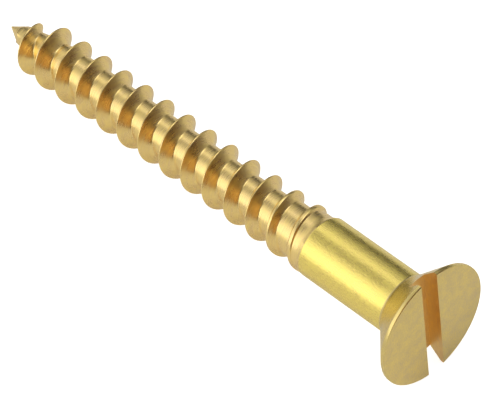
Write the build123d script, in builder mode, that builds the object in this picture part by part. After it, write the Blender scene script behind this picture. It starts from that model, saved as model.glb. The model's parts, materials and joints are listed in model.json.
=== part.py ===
"""Slotted countersunk wood screw in solid brass, with a plain shank and a cut thread.

The screw is one solid piece.  Its axis lies along X: the flush face of the head is at
x = 0 and looks towards +X, and the point is at x = -length.  The driver slot runs along Z.
All sizes are in millimetres.
"""

import os
from math import cos, exp, pi, radians, sin, sqrt, tan

from build123d import *

# ---- driving dimensions ----
length = 38.2                 # from the flush face of the head to the point
shank_diameter = 4.17
shank_end = 9.4               # where the plain shank stops, measured from the head face

head_diameter = 8.44          # over the rim
head_cone_angle = 90.0        # included angle of the countersink
rim_height = 0.26             # straight land round the head, with its broken edge
rim_edge_break = 0.05
slot_width = 1.30
slot_depth = 1.10

root_diameter = 2.66          # plain core between the turns of the thread
crest_diameter = 4.07         # it grows to the shank's diameter over the last turns
crest_growth_length = 10.8
pitch = 1.956
crest_land = 0.13             # flat top of the thread
head_side_flank = 0.58        # axial depth of the flank that looks at the head
point_side_flank = 0.43       # axial depth of the flank that looks at the point
run_out_length = 6.3          # the core swells over this length into the shank
broad_land = 0.2              # what the last crests' land gains on the point's side
broad_land_length = 2.5       # the length of thread over which it gains that
broad_land_end = 1.7          # from the shank to where the land has its full breadth

bare_cone_length = 1.15       # cone in front of the first turn of the thread
bare_cone_angle = 58.2        # included angle
point_flat_radius = 0.03      # a cut point is never quite sharp
core_taper_end = 7.1          # distance from the point where the core reaches its full size
crest_cone_angle = 75.2       # included angle of the cone that the first crests lie on
crest_taper_end = 4.77        # distance from the point where the crest reaches its full size
crest_barrel_rise = 0.37      # how far the crests' gentle curve would drop back at the bare cone
thread_start_angle = -96.5    # where the thread starts, in degrees from +Y towards +Z
start_lead = 0.9              # how much faster than the pitch the ridge sets out, per turn
start_turns = 0.4             # and over how many turns that dies away

# ---- sizes that follow from them ----
shank_radius = shank_diameter / 2
head_radius = head_diameter / 2
root_radius = root_diameter / 2
crest_radius = crest_diameter / 2
seat_height = rim_height + (head_radius - shank_radius) / tan(radians(head_cone_angle / 2))
bare_cone_radius = bare_cone_length * tan(radians(bare_cone_angle / 2))
shank_start = length - shank_end
swell_start = shank_start - run_out_length


def arc_size(run, rise):
    """Radius of an arc that leaves a straight line and rises by `rise` over `run`."""
    return (run**2 + rise**2) / (2 * rise)


def arc_rise(radius, run):
    """How far such an arc stands off its straight line after a run along it."""
    return radius - sqrt(radius**2 - run**2)


core_arc = arc_size(core_taper_end - bare_cone_length, root_radius - bare_cone_radius)
crest_arc = arc_size(crest_taper_end - bare_cone_length, crest_barrel_rise)
crest_cone_slope = tan(radians(crest_cone_angle / 2))
swell_arc = arc_size(run_out_length, shank_radius - root_radius)


def core_radius_at(distance):
    """Radius of the core, by distance from the point."""
    if distance < core_taper_end:
        return root_radius - arc_rise(core_arc, core_taper_end - distance)
    if distance > swell_start:
        return root_radius + arc_rise(swell_arc, distance - swell_start)
    return root_radius


def crest_radius_at(distance):
    """Radius of the top of the thread, by distance from the point."""
    if distance < crest_taper_end:
        cone = bare_cone_radius + crest_cone_slope * (distance - bare_cone_length)
        return min(cone, crest_radius - arc_rise(crest_arc, crest_taper_end - distance))
    growth = max(distance - shank_start + crest_growth_length, 0) / crest_growth_length
    return crest_radius + (shank_radius - crest_radius) * growth


def ridge_middle(turn):
    """Distance from the point to the middle of the ridge, after a number of turns."""
    return bare_cone_length + pitch * turn + start_lead * turn * exp(-turn / start_turns)


# The thread ends at the shank, where the swelling core has risen to its crest.
thread_turns = (shank_start - bare_cone_length) / pitch


def thread_section(turn):
    """Distance from the point and radius of the ridge's four edges, after a number of turns."""
    middle = ridge_middle(turn)
    top = crest_radius_at(middle)
    height = max(top - core_radius_at(middle), 0.0)
    share = min(height / (crest_radius - root_radius), 1.0)
    half_land = crest_land / 2 * share * (2 - share)
    broad_start = shank_start - broad_land_end - broad_land_length
    broad_share = min(max((middle - broad_start) / broad_land_length, 0), 3 * share, 1)
    point_crest = middle - half_land - broad_land * broad_share
    point_foot = point_crest - point_side_flank * share
    head_foot = middle + half_land + head_side_flank * share
    return {
        "point_foot": (point_foot, core_radius_at(point_foot)),
        "point_crest": (point_crest, top),
        "head_crest": (middle + half_land, top),
        "head_foot": (head_foot, core_radius_at(head_foot)),
    }


def on_screw(distance, radius, turn):
    """A place by distance from the point, radius, and turns from the thread's start."""
    angle = radians(thread_start_angle) + 2 * pi * turn
    return (distance - length, radius * cos(angle), radius * sin(angle))


points_per_turn = 24


def spans(first, last):
    """Turns at the ends and in between, close enough for a smooth curve."""
    steps = max(2, round((last - first) * points_per_turn))
    return [first + (last - first) * i / steps for i in range(steps + 1)]


def helix_edge(name, first, last):
    """One edge of the ridge between two turns."""
    return Edge.make_spline([on_screw(*thread_section(t)[name], t) for t in spans(first, last)])


def ring_edge(distance, radius, first, last):
    """An arc of a circle round the axis between two turns."""
    ends_and_middle = (first, (first + last) / 2, last)
    return Edge.make_three_point_arc(*[on_screw(distance, radius, t) for t in ends_and_middle])


# The ridge is cut into stretches at whole turns and at the angle where it ends, so that
# stretches lie side by side from turn to turn.
part_turn = thread_turns % 1
whole_turns = int(thread_turns)
stations = sorted([k + part for k in range(whole_turns + 1) for part in (0.0, part_turn)])
stretches = list(zip(stations[:-1], stations[1:]))
edges = {name: [helix_edge(name, a, b) for a, b in stretches] for name in thread_section(0)}
point_ring = [ring_edge(0, point_flat_radius, a, b) for a, b in stretches[:2]]
first_ring = [ring_edge(bare_cone_length, bare_cone_radius, a, b) for a, b in stretches[:2]]
last_ring = [ring_edge(shank_start, shank_radius, a, b) for a, b in stretches[-2:]]
ruled = Face.make_surface_from_curves
skin = [Face(Wire(point_ring)), Face(Wire(last_ring))]
for i in range(len(stretches)):
    skin.append(ruled(edges["point_foot"][i], edges["point_crest"][i]))
    skin.append(ruled(edges["point_crest"][i], edges["head_crest"][i]))
    skin.append(ruled(edges["head_crest"][i], edges["head_foot"][i]))
near_edges = point_ring + first_ring + edges["head_foot"]
far_edges = first_ring + edges["point_foot"] + last_ring
for near, far in zip(near_edges, far_edges):
    skin.append(ruled(near, far))
thread = Solid(Shell(skin))

# ---- the whole screw ----
with BuildPart() as wood_screw:
    add(thread)
    with BuildSketch(Plane.XZ) as shank_and_head:
        with BuildLine():
            Polyline(
                (-shank_end, 0),
                (-shank_end, shank_radius),
                (-seat_height, shank_radius),
                (-rim_height, head_radius),
                (-rim_edge_break, head_radius),
                (0, head_radius - rim_edge_break),
                (0, 0),
                close=True,
            )
        make_face()
    revolve(axis=Axis.X)
    with BuildSketch(Plane.YZ.offset(-slot_depth)):
        Rectangle(slot_width, 2 * head_diameter)
    extrude(amount=2 * slot_depth, mode=Mode.SUBTRACT)

wood_screw.part.label = "wood_screw"

os.makedirs("parts", exist_ok=True)
export_step(wood_screw.part, "parts/wood_screw.step")
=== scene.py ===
"""Looks of the slotted countersunk brass wood screw.

The CAD node is replaced by one closed mesh of the same size with what the plain solid lacks: a
thread whose crests and feet are slightly rounded, a soft shoulder where it runs out into the
shank, a fillet under the head and a rounded edge round the rim.  Lengths inside the functions are
in millimetres; on_axis turns them into the frame's metres.  `d` is always the distance from the
point along the axis, and `x` is the place on the axis, which is 0 at the head's face.
"""

import json

from math import asin, atan2, cos, exp, pi, radians, sin, sqrt, tan

import bmesh
import bpy
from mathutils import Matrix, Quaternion, Vector


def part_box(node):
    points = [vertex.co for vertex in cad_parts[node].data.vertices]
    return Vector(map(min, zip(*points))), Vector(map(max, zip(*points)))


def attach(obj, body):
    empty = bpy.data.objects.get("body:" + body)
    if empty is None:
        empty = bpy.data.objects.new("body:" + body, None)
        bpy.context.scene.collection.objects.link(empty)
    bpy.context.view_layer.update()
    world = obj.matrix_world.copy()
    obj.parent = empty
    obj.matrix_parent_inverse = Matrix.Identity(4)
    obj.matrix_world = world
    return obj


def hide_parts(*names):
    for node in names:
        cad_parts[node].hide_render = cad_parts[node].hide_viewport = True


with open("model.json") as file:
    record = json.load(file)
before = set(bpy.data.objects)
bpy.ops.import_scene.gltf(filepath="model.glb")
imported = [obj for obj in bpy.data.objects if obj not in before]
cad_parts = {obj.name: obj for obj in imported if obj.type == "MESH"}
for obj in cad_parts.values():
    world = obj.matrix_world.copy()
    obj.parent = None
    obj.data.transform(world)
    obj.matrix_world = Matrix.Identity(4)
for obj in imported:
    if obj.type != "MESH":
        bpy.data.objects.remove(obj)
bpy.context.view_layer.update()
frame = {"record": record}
MM = 0.001

# ---- sizes from the frame, in millimetres ----
node_low, node_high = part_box("wood_screw")
mounts = {m["name"]: m for m in frame["record"]["mounts"]}
length = (node_high[0] - node_low[0]) / MM
head_radius = (node_high[1] - node_low[1]) / 2 / MM
shank_radius = mounts["shank"]["dims"]["r_mm"]

# ---- head and shank ----
shank_end = 9.39
rim_height = 0.26
rim_corner = 0.02             # rounding where the cone meets the rim
rim_edge_height = 0.045       # broken edge round the face
rim_edge_inset = 0.07
seat = -(rim_height + head_radius - shank_radius)
seat_fillet = 0.12
slot_width = 1.30
slot_depth = 1.10

# ---- thread ----
root_radius = 1.33
crest_radius = 2.035
pitch = 1.956
crest_land = 0.08
head_side_slope = 0.58 / (crest_radius - root_radius)   # along the axis, by height
point_side_slope = 0.43 / (crest_radius - root_radius)
head_foot_reach = 0.4         # about how far the feet are from their crests
point_foot_reach = 0.3
corner_cut = 0.05             # how far back a corner is rounded
corner_share = 0.3            # and at most, as a share of the side
head_flank_sag = 0.03         # hollow of the flank that looks at the head, by its width

bare_cone_length = 1.15
bare_cone_radius = 0.64
point_flat_radius = 0.03
core_taper_end = 7.1
crest_cone_slope = 0.77
crest_taper_end = 4.77
crest_arc = 18.1
crest_taper_blend = 0.1
crest_growth_start = 18.0
thread_start_angle = radians(-96.5)
start_lead = 0.9              # how much faster than the pitch the ridge sets out, per turn
start_turns = 0.4             # and over how many turns that dies away

broad_land_start = 24.6       # from here on the land grows broader on the point's side
broad_land_growth = 0.08
broad_land = 0.2
swell_start = 22.1            # from here on the core rises to the shank
swell_arc = 35.0
shoulder = length - shank_end
shoulder_slope = tan(radians(25.0))
shoulder_blend = 0.05

# ---- fineness of the mesh ----
steps_per_turn = 120
slot_steps = 12
half_steps = (steps_per_turn - 2 * slot_steps) // 2
joining_distance = 1e-4

# ---- the finishes' places in the list of materials ----
THREAD, SHANK, HEAD, FACE, SLOT = range(5)


# ---- the thread's outline ----
def arc_size(run, rise):
    """Radius of an arc that leaves a straight line and rises by `rise` over `run`."""
    return (run**2 + rise**2) / (2 * rise)


def arc_rise(radius, run):
    """How far such an arc stands off its straight line after a run along it."""
    return radius - sqrt(radius**2 - run**2)


core_arc = arc_size(core_taper_end - bare_cone_length, root_radius - bare_cone_radius)


def core_radius(d, groove):
    """Radius of the core at d, in the pass of the groove whose middle is at `groove`."""
    radius = root_radius
    if d < core_taper_end:
        radius -= arc_rise(core_arc, core_taper_end - max(d, bare_cone_length))
    if groove > swell_start:
        radius += arc_rise(swell_arc, groove - swell_start)
    return min(radius, top_radius(d))


def smooth_min(a, b, blend):
    """The smaller of two lengths, with a soft change from one to the other."""
    near = max(blend - abs(a - b), 0.0) / blend
    return min(a, b) - near**2 * blend / 4


def top_radius(d):
    """Radius of the top of the thread."""
    d = max(d, bare_cone_length)
    if d < crest_taper_end:
        barrel = crest_radius - arc_rise(crest_arc, crest_taper_end - d)
        cone = bare_cone_radius + crest_cone_slope * (d - bare_cone_length)
        return smooth_min(cone, barrel, crest_taper_blend)
    if d > crest_growth_start:
        share = min((d - crest_growth_start) / (shoulder - crest_growth_start), 1.0)
        return crest_radius + (shank_radius - crest_radius) * share
    return crest_radius


def ridge_middle(turn):
    """Where the ridge is after a number of turns; it leans forward where it starts."""
    start = max(turn, 0.0)
    return bare_cone_length + pitch * turn + start_lead * start * exp(-start / start_turns)


def along(start, end, shares):
    """Points on a straight line."""
    return [Vector(start).lerp(Vector(end), share) for share in shares]


def softened(corner, before, after, cut):
    """Four points that round a corner between its two neighbours."""
    corner, before, after = Vector(corner), Vector(before), Vector(after)
    back = before - corner
    on = after - corner
    start = corner + back * min(cut / max(back.length, 1e-6), corner_share)
    end = corner + on * min(cut / max(on.length, 1e-6), corner_share)
    points = []
    for s in (0.0, 0.33, 0.67, 1.0):
        points.append(start * (1 - s) ** 2 + corner * 2 * s * (1 - s) + end * s**2)
    return points


def foot_of(crest, reach, slope, groove):
    """Where the flank from this crest meets the core."""
    top = crest[1]
    radius = min(core_radius(crest[0] + reach, groove), top)
    return (crest[0] + slope * (top - radius), radius)


def thread_section(turn):
    """(d, radius) across one pitch, from the middle of one pass of the groove to the next."""
    middle = ridge_middle(turn)
    groove_before = (ridge_middle(turn - 1) + middle) / 2
    groove_after = (middle + ridge_middle(turn + 1)) / 2
    top = top_radius(middle)
    height = max(top - core_radius(middle, middle), 0.0)
    share = min(height / (crest_radius - root_radius), 1.0)
    half_land = crest_land / 2 * share * (2 - share)
    broad = min(max(middle - broad_land_start, 0.0) * broad_land_growth, broad_land)

    start = (groove_before, core_radius(groove_before, groove_before))
    point_crest = (middle - half_land - broad, top)
    point_foot = foot_of(point_crest, -point_foot_reach * share, -point_side_slope, groove_before)
    head_crest = (middle + half_land, top)
    head_foot = foot_of(head_crest, head_foot_reach * share, head_side_slope, groove_after)
    end = (groove_after, core_radius(groove_after, groove_after))
    sag = Vector((head_foot[1] - top, head_crest[0] - head_foot[0])) * head_flank_sag

    points = along(start, point_foot, (0.0, 0.3, 0.6, 0.85))
    points += softened(point_foot, start, point_crest, corner_cut)
    points += along(point_foot, point_crest, (0.35, 0.65))
    points += softened(point_crest, point_foot, head_crest, corner_cut)
    points += softened(head_crest, point_crest, head_foot, corner_cut)
    for s in (0.35, 0.5, 0.65, 0.8):
        points.append(Vector(head_crest).lerp(Vector(head_foot), s) + sag * 4 * s * (1 - s))
    points += softened(head_foot, points[-1], end, corner_cut)
    points += along(head_foot, end, (0.15, 0.4, 0.7))
    return points


def with_shoulder(d, radius):
    """The thread's surface, joined softly to the cone that leads up to the shank."""
    cone = shank_radius - (shoulder - d) * shoulder_slope
    gap = (radius - cone) / shoulder_blend
    if gap > 1:
        return radius
    if gap < -1:
        return cone
    return cone + shoulder_blend * (gap + 1) ** 2 / 4


# ---- the mesh ----
def on_axis(d, radius, angle):
    """A place in the frame, in metres."""
    return Vector(((d - length) * MM, radius * cos(angle) * MM, radius * sin(angle) * MM))


def thread_angle(step):
    """Angle round the axis after a number of steps along the thread."""
    return thread_start_angle + 2 * pi * step / steps_per_turn


def bridge(mesh, near, far, finish):
    """Quads between two rings with the same number of vertices."""
    count = len(near)
    for i in range(count):
        j = (i + 1) % count
        mesh.faces.new((near[i], far[i], far[j], near[j])).material_index = finish


def add_thread(mesh):
    """The threaded part; returns its first and its last ring of vertices, in order of angle."""
    first_step = -steps_per_turn
    last_step = int((shoulder - bare_cone_length) / pitch * steps_per_turn) + steps_per_turn
    first_ring = {}
    last_ring = {}

    def ring_vertex(ring, step, d, radius):
        place = step % steps_per_turn
        if place not in ring:
            ring[place] = mesh.verts.new(on_axis(d, radius, thread_angle(step)))
        return ring[place]

    def vertex(d, radius, step):
        if d < bare_cone_length + joining_distance:
            return ring_vertex(first_ring, step, bare_cone_length, bare_cone_radius)
        if d > shoulder - joining_distance:
            return ring_vertex(last_ring, step, shoulder, shank_radius)
        return mesh.verts.new(on_axis(d, with_shoulder(d, radius), thread_angle(step)))

    rows = {}
    for step in range(first_step, last_step + steps_per_turn + 1):
        section = thread_section(step / steps_per_turn)
        rows[step] = [vertex(d, radius, step) for d, radius in section]
    for step in range(first_step, last_step):
        here = rows[step] + rows[step + steps_per_turn][:1]
        there = rows[step + 1] + rows[step + 1 + steps_per_turn][:1]
        for i in range(len(here) - 1):
            corners = []
            for corner in (here[i], here[i + 1], there[i + 1], there[i]):
                if corner not in corners:
                    corners.append(corner)
            if len(corners) > 2:
                mesh.faces.new(corners).material_index = THREAD
    return [[ring[k] for k in range(steps_per_turn)] for ring in (first_ring, last_ring)]


def add_point(mesh, first_ring):
    """The bare cone in front of the thread, down to the small flat at the point."""
    outer = first_ring
    for share in (0.75, 0.5, 0.25, 0.0):
        radius = point_flat_radius + (bare_cone_radius - point_flat_radius) * share
        inner = []
        for step in range(steps_per_turn):
            place = on_axis(bare_cone_length * share, radius, thread_angle(step))
            inner.append(mesh.verts.new(place))
        bridge(mesh, inner, outer, THREAD)
        outer = inner
    mesh.faces.new(outer).material_index = THREAD


def slotted_angles(radius):
    """Angles round the axis, with a vertex where each wall of the slot meets that radius."""
    slot_angle = asin(min(slot_width / 2 / radius, 1.0))
    angles = []
    for side in range(2):
        start = -pi / 2 + side * pi
        angles += [start - slot_angle + 2 * slot_angle * i / slot_steps for i in range(slot_steps)]
        arc = pi - 2 * slot_angle
        angles += [start + slot_angle + arc * i / half_steps for i in range(half_steps)]
    return angles


def cone_radius(x):
    """Radius of the head's cone."""
    return head_radius + rim_height + x


def add_shank_and_cone(mesh, last_ring):
    """Shank, fillet and cone up to the slot's floor; returns the ring of vertices there."""
    # the thread's last ring again, in the order of the slotted rings
    start_angle = slotted_angles(shank_radius)[0]
    shift = round((start_angle - thread_start_angle) / (2 * pi / steps_per_turn))
    ring = [last_ring[(k + shift) % steps_per_turn] for k in range(steps_per_turn)]

    shank_rows = [-shank_end + 0.06, -8.5, -7.0, -5.5, -4.0, seat - seat_fillet]
    rows = [(x, shank_radius, SHANK) for x in shank_rows]
    before = (seat - 1, shank_radius)
    after = (seat + 1, shank_radius + 1)
    fillet = softened((seat, shank_radius), before, after, seat_fillet)
    rows += [(x, radius, HEAD) for x, radius in fillet[1:]]
    cone_start = fillet[-1][0]
    for share in (0.35, 0.7, 1.0):
        x = cone_start + (-slot_depth - cone_start) * share
        rows.append((x, cone_radius(x), HEAD))

    for x, radius, finish in rows:
        places = [on_axis(length + x, radius, angle) for angle in slotted_angles(radius)]
        following = [mesh.verts.new(place) for place in places]
        bridge(mesh, ring, following, finish)
        ring = following
    return ring


def add_slotted_halves(mesh, ring):
    """The slot's floor and the two halves of the head above it, from the ring at the floor."""
    other_side = slot_steps + half_steps
    slot_floor = ring[: slot_steps + 1] + ring[other_side : other_side + slot_steps + 1]
    mesh.faces.new(slot_floor).material_index = SLOT

    rows = [(x, cone_radius(x)) for x in (-slot_depth + 0.36, -rim_height - rim_corner)]
    rows.append((-rim_height, head_radius - 0.3 * rim_corner))
    rows.append((-rim_height + rim_corner, head_radius))
    rows.append((-rim_edge_height, head_radius))
    for below_face, inward in ((0.8, 0.12), (0.12, 0.85), (0.0, 1.0)):
        rows.append((-rim_edge_height * below_face, head_radius - rim_edge_inset * inward))

    for side in range(2):
        begin = side * other_side + slot_steps
        below = [ring[(begin + i) % steps_per_turn] for i in range(half_steps + 1)]
        walls = ([below[0]], [below[-1]])
        for x, radius in rows:
            slot_angle = asin(slot_width / 2 / radius)
            start = -pi / 2 + side * pi + slot_angle
            arc = pi - 2 * slot_angle
            angles = [start + arc * i / half_steps for i in range(half_steps + 1)]
            above = [mesh.verts.new(on_axis(length + x, radius, angle)) for angle in angles]
            for i in range(half_steps):
                face = mesh.faces.new((below[i], above[i], above[i + 1], below[i + 1]))
                face.material_index = HEAD
            walls[0].append(above[0])
            walls[1].append(above[-1])
            below = above
        mesh.faces.new(below).material_index = FACE
        mesh.faces.new(walls[0] + walls[1][::-1]).material_index = SLOT


def build_screw():
    """The whole screw as one closed mesh."""
    mesh = bmesh.new()
    first_ring, last_ring = add_thread(mesh)
    add_point(mesh, first_ring)
    add_slotted_halves(mesh, add_shank_and_cone(mesh, last_ring))
    # where the ridge dies away its corners fall together, and are joined
    bmesh.ops.remove_doubles(mesh, verts=mesh.verts, dist=joining_distance * MM)
    bmesh.ops.recalc_face_normals(mesh, faces=mesh.faces)
    data = bpy.data.meshes.new("wood_screw_surface")
    mesh.to_mesh(data)
    mesh.free()
    piece = bpy.data.objects.new("wood_screw_surface", data)
    bpy.context.scene.collection.objects.link(piece)
    return piece


# ---- materials ----
fine_detail = 4.0
tarnish_marks = (1500, 1500, 1500)   # per metre
tarnish_detail = 2.0
tarnish_share = 0.45                 # against the fine grain
noise_low, noise_high = 0.35, 0.65   # the noise hardly leaves this range
dark_green_loss = 1.3                # the darker marks are redder too
roughness_spread = 0.15
relief_depth = 0.02 * MM


def brass(name, roughness, colour, grain, spread, relief_strength):
    """Solid brass with a fine grain and a broad tarnish; grain is in marks per metre."""
    material = bpy.data.materials.new(name)
    material.use_nodes = True
    nodes, links = material.node_tree.nodes, material.node_tree.links
    shader = nodes["Principled BSDF"]
    shader.inputs["Metallic"].default_value = 1.0
    place = nodes.new("ShaderNodeTexCoord")

    def noise(marks_per_metre, detail):
        scaled = nodes.new("ShaderNodeMapping")
        scaled.inputs["Scale"].default_value = marks_per_metre
        links.new(place.outputs["Object"], scaled.inputs["Vector"])
        marks = nodes.new("ShaderNodeTexNoise")
        marks.inputs["Scale"].default_value = 1.0
        marks.inputs["Detail"].default_value = detail
        links.new(scaled.outputs["Vector"], marks.inputs["Vector"])
        return marks.outputs["Fac"]

    fine = noise(grain, fine_detail)
    both = nodes.new("ShaderNodeMix")
    both.inputs["Factor"].default_value = tarnish_share
    links.new(fine, both.inputs["A"])
    links.new(noise(tarnish_marks, tarnish_detail), both.inputs["B"])

    def between(low, high):
        ranged = nodes.new("ShaderNodeMapRange")
        ranged.inputs["From Min"].default_value = noise_low
        ranged.inputs["From Max"].default_value = noise_high
        ranged.inputs["To Min"].default_value = low
        ranged.inputs["To Max"].default_value = high
        links.new(both.outputs["Result"], ranged.inputs["Value"])
        return ranged.outputs["Result"]

    red, green, blue = colour
    dark = (red * (1 - spread), green * (1 - dark_green_loss * spread), blue, 1.0)
    bright = (min(red * (1 + spread), 1.0), green * (1 + spread), blue, 1.0)
    tint = nodes.new("ShaderNodeMix")
    tint.data_type = "RGBA"
    tint.inputs["A"].default_value = dark
    tint.inputs["B"].default_value = bright
    links.new(between(0.0, 1.0), tint.inputs["Factor"])
    links.new(tint.outputs["Result"], shader.inputs["Base Color"])
    smoother = roughness * (1 - roughness_spread)
    rougher = roughness * (1 + roughness_spread)
    links.new(between(smoother, rougher), shader.inputs["Roughness"])
    relief = nodes.new("ShaderNodeBump")
    relief.inputs["Strength"].default_value = relief_strength
    relief.inputs["Distance"].default_value = relief_depth
    links.new(fine, relief.inputs["Height"])
    links.new(relief.outputs["Normal"], shader.inputs["Normal"])
    return material


def dress(piece):
    """The thread is warmer than the drawn wire of the shank, partly from its tarnished cut metal and
    partly as painted warm reflection; the order is THREAD to SLOT.
    """
    finishes = (
        # warmer thread: partly tarnished cut metal, partly painted warm reflection of the floor and
        # of its own flanks
        brass("brass_thread", 0.29, (0.92, 0.695, 0.265), (9000, 900, 900), 0.09, 0.7),
        brass("brass_shank", 0.28, (0.95, 0.765, 0.2), (3500, 9000, 9000), 0.06, 0.6),
        # the head is a darker, less saturated copy of the shank's brass: painted shade
        brass("brass_head", 0.25, (0.80, 0.63, 0.23), (9000, 1500, 1500), 0.06, 0.5),
        brass("brass_face", 0.45, (0.86, 0.69, 0.27), (9000, 13000, 6000), 0.10, 0.8),
        brass("brass_slot", 0.40, (0.93, 0.67, 0.28), (5000, 5000, 1200), 0.08, 0.6),
    )
    for finish in finishes:
        piece.data.materials.append(finish)


screw = build_screw()
dress(screw)
screw.data.shade_smooth()
screw.data.set_sharp_from_angle(angle=radians(35))
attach(screw, "root")
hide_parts("wood_screw")


# ---- stage ----
WHITE = (1.0, 1.0, 1.0, 1.0)
floor_size = 3.0
floor_grey = 0.68
floor_glow = 0.22
seen_floor_grey = 0.9
seen_floor_glow = 0.8


def show_camera(nodes, links, others, camera, output):
    """The camera sees one shader; light that bounces about meets the other."""
    path = nodes.new("ShaderNodeLightPath")
    choose = nodes.new("ShaderNodeMixShader")
    links.new(path.outputs["Is Camera Ray"], choose.inputs["Fac"])
    links.new(others, choose.inputs[1])
    links.new(camera, choose.inputs[2])
    links.new(choose.outputs["Shader"], output)


def make_matte(shader, grey, specular, glow):
    shader.inputs["Base Color"].default_value = (grey, grey, grey, 1.0)
    shader.inputs["Roughness"].default_value = 0.9
    shader.inputs["Specular IOR Level"].default_value = specular
    shader.inputs["Emission Color"].default_value = WHITE
    shader.inputs["Emission Strength"].default_value = glow


def add_floor():
    """A pale floor under the screw, which rests on the rim of its head and on its thread."""
    rim_low = sqrt(head_radius**2 - (slot_width / 2) ** 2)
    tilt = atan2(rim_low - crest_radius, length - crest_taper_end - rim_height / 2)
    bpy.ops.mesh.primitive_plane_add(size=floor_size)
    floor = bpy.context.object
    floor.name = "floor"
    floor.rotation_euler = (0.0, tilt, 0.0)
    floor.location = (-rim_height / 2 * MM, 0.0, -rim_low * MM)
    material = bpy.data.materials.new("floor_white")
    material.use_nodes = True
    nodes, links = material.node_tree.nodes, material.node_tree.links
    pale = nodes["Principled BSDF"]
    make_matte(pale, floor_grey, 0.1, floor_glow)
    lifted = nodes.new("ShaderNodeBsdfPrincipled")
    make_matte(lifted, seen_floor_grey, 0.0, seen_floor_glow)
    surface = nodes["Material Output"].inputs["Surface"]
    show_camera(nodes, links, pale.outputs["BSDF"], lifted.outputs["BSDF"], surface)
    floor.data.materials.append(material)


# Round soft lights far away.  Azimuth (from +X to +Y), elevation and half width are in degrees.
neutral_lights = (
    (250, 8, 22, 1.5),
    (216, 8, 22, 0.75),
    (225, 38, 22, 0.88),
    (268, 38, 18, 1.85),
    (180, 38, 22, 0.65),
    (135, 38, 22, 0.45),
    (153, 54, 9, 0.9),
    (72, 66, 22, 2.45),
    (72, 8, 22, 0.45),
)
warm_lights = (
    (343, 28, 13, (0.72, 0.42, 0.15)),
    (324, 13, 13, (0.72, 0.42, 0.15)),
    (350, 0, 20, (0.2, 0.115, 0.04)),
    (35, 15, 25, (0.09, 0.05, 0.03)),
)


def add_world():
    """A studio of soft lights, with plain white for the camera."""
    world = bpy.data.worlds.new("studio")
    world.use_nodes = True
    nodes, links = world.node_tree.nodes, world.node_tree.links
    place = nodes.new("ShaderNodeTexCoord")
    ray = nodes.new("ShaderNodeVectorMath")
    ray.operation = "NORMALIZE"
    links.new(place.outputs["Generated"], ray.inputs[0])

    def glow_of(azimuth, elevation, half_width, colour):
        across = cos(radians(elevation))
        ahead = across * cos(radians(azimuth))
        aside = across * sin(radians(azimuth))
        facing = nodes.new("ShaderNodeVectorMath")
        facing.operation = "DOT_PRODUCT"
        facing.inputs[1].default_value = (ahead, aside, sin(radians(elevation)))
        links.new(ray.outputs["Vector"], facing.inputs[0])
        # exp((facing - 1) / (1 - cos(half_width))) fades from the middle of the light outwards
        steepness = 1 / (1 - cos(radians(half_width)))
        fall = nodes.new("ShaderNodeMath")
        fall.operation = "MULTIPLY_ADD"
        fall.inputs[1].default_value = steepness
        fall.inputs[2].default_value = -steepness
        links.new(facing.outputs["Value"], fall.inputs[0])
        glow = nodes.new("ShaderNodeMath")
        glow.operation = "EXPONENT"
        links.new(fall.outputs["Value"], glow.inputs[0])
        tinted = nodes.new("ShaderNodeVectorMath")
        tinted.operation = "SCALE"
        tinted.inputs[0].default_value = colour
        links.new(glow.outputs["Value"], tinted.inputs["Scale"])
        return tinted.outputs["Vector"]

    def sum_of(first, second):
        total = nodes.new("ShaderNodeVectorMath")
        total.operation = "ADD"
        links.new(first, total.inputs[0])
        links.new(second, total.inputs[1])
        return total.outputs["Vector"]

    glows = [glow_of(*aim, (level, level, level)) for *aim, level in neutral_lights]
    glows += [glow_of(*light) for light in warm_lights]
    light = glows[0]
    for glow in glows[1:]:
        light = sum_of(light, glow)
    background = nodes["Background"]
    links.new(light, background.inputs["Color"])
    white = nodes.new("ShaderNodeBackground")
    white.inputs["Color"].default_value = WHITE
    surface = nodes["World Output"].inputs["Surface"]
    show_camera(nodes, links, background.outputs["Background"], white.outputs["Background"], surface)
    bpy.context.scene.world = world


camera_place = (0.10424, -0.09556, 0.17092)
camera_forward = (-0.52067, 0.41391, -0.74671)
camera_roll = radians(-7.736)
camera_lens = 265.8
film_width = 36.0


def add_camera():
    """A long lens, above the head's side and rolled a little."""
    camera = bpy.data.cameras.new("camera")
    camera.lens = camera_lens
    camera.sensor_width = film_width
    camera.clip_start = 0.01
    camera.clip_end = 10.0
    eye = bpy.data.objects.new("camera", camera)
    bpy.context.scene.collection.objects.link(eye)
    eye.location = camera_place
    eye.rotation_mode = "QUATERNION"
    aim = Vector(camera_forward).to_track_quat("-Z", "Y")
    eye.rotation_quaternion = aim @ Quaternion((0, 0, 1), camera_roll)
    bpy.context.scene.camera = eye


add_floor()
add_world()
add_camera()
bpy.context.scene.view_settings.view_transform = "Standard"
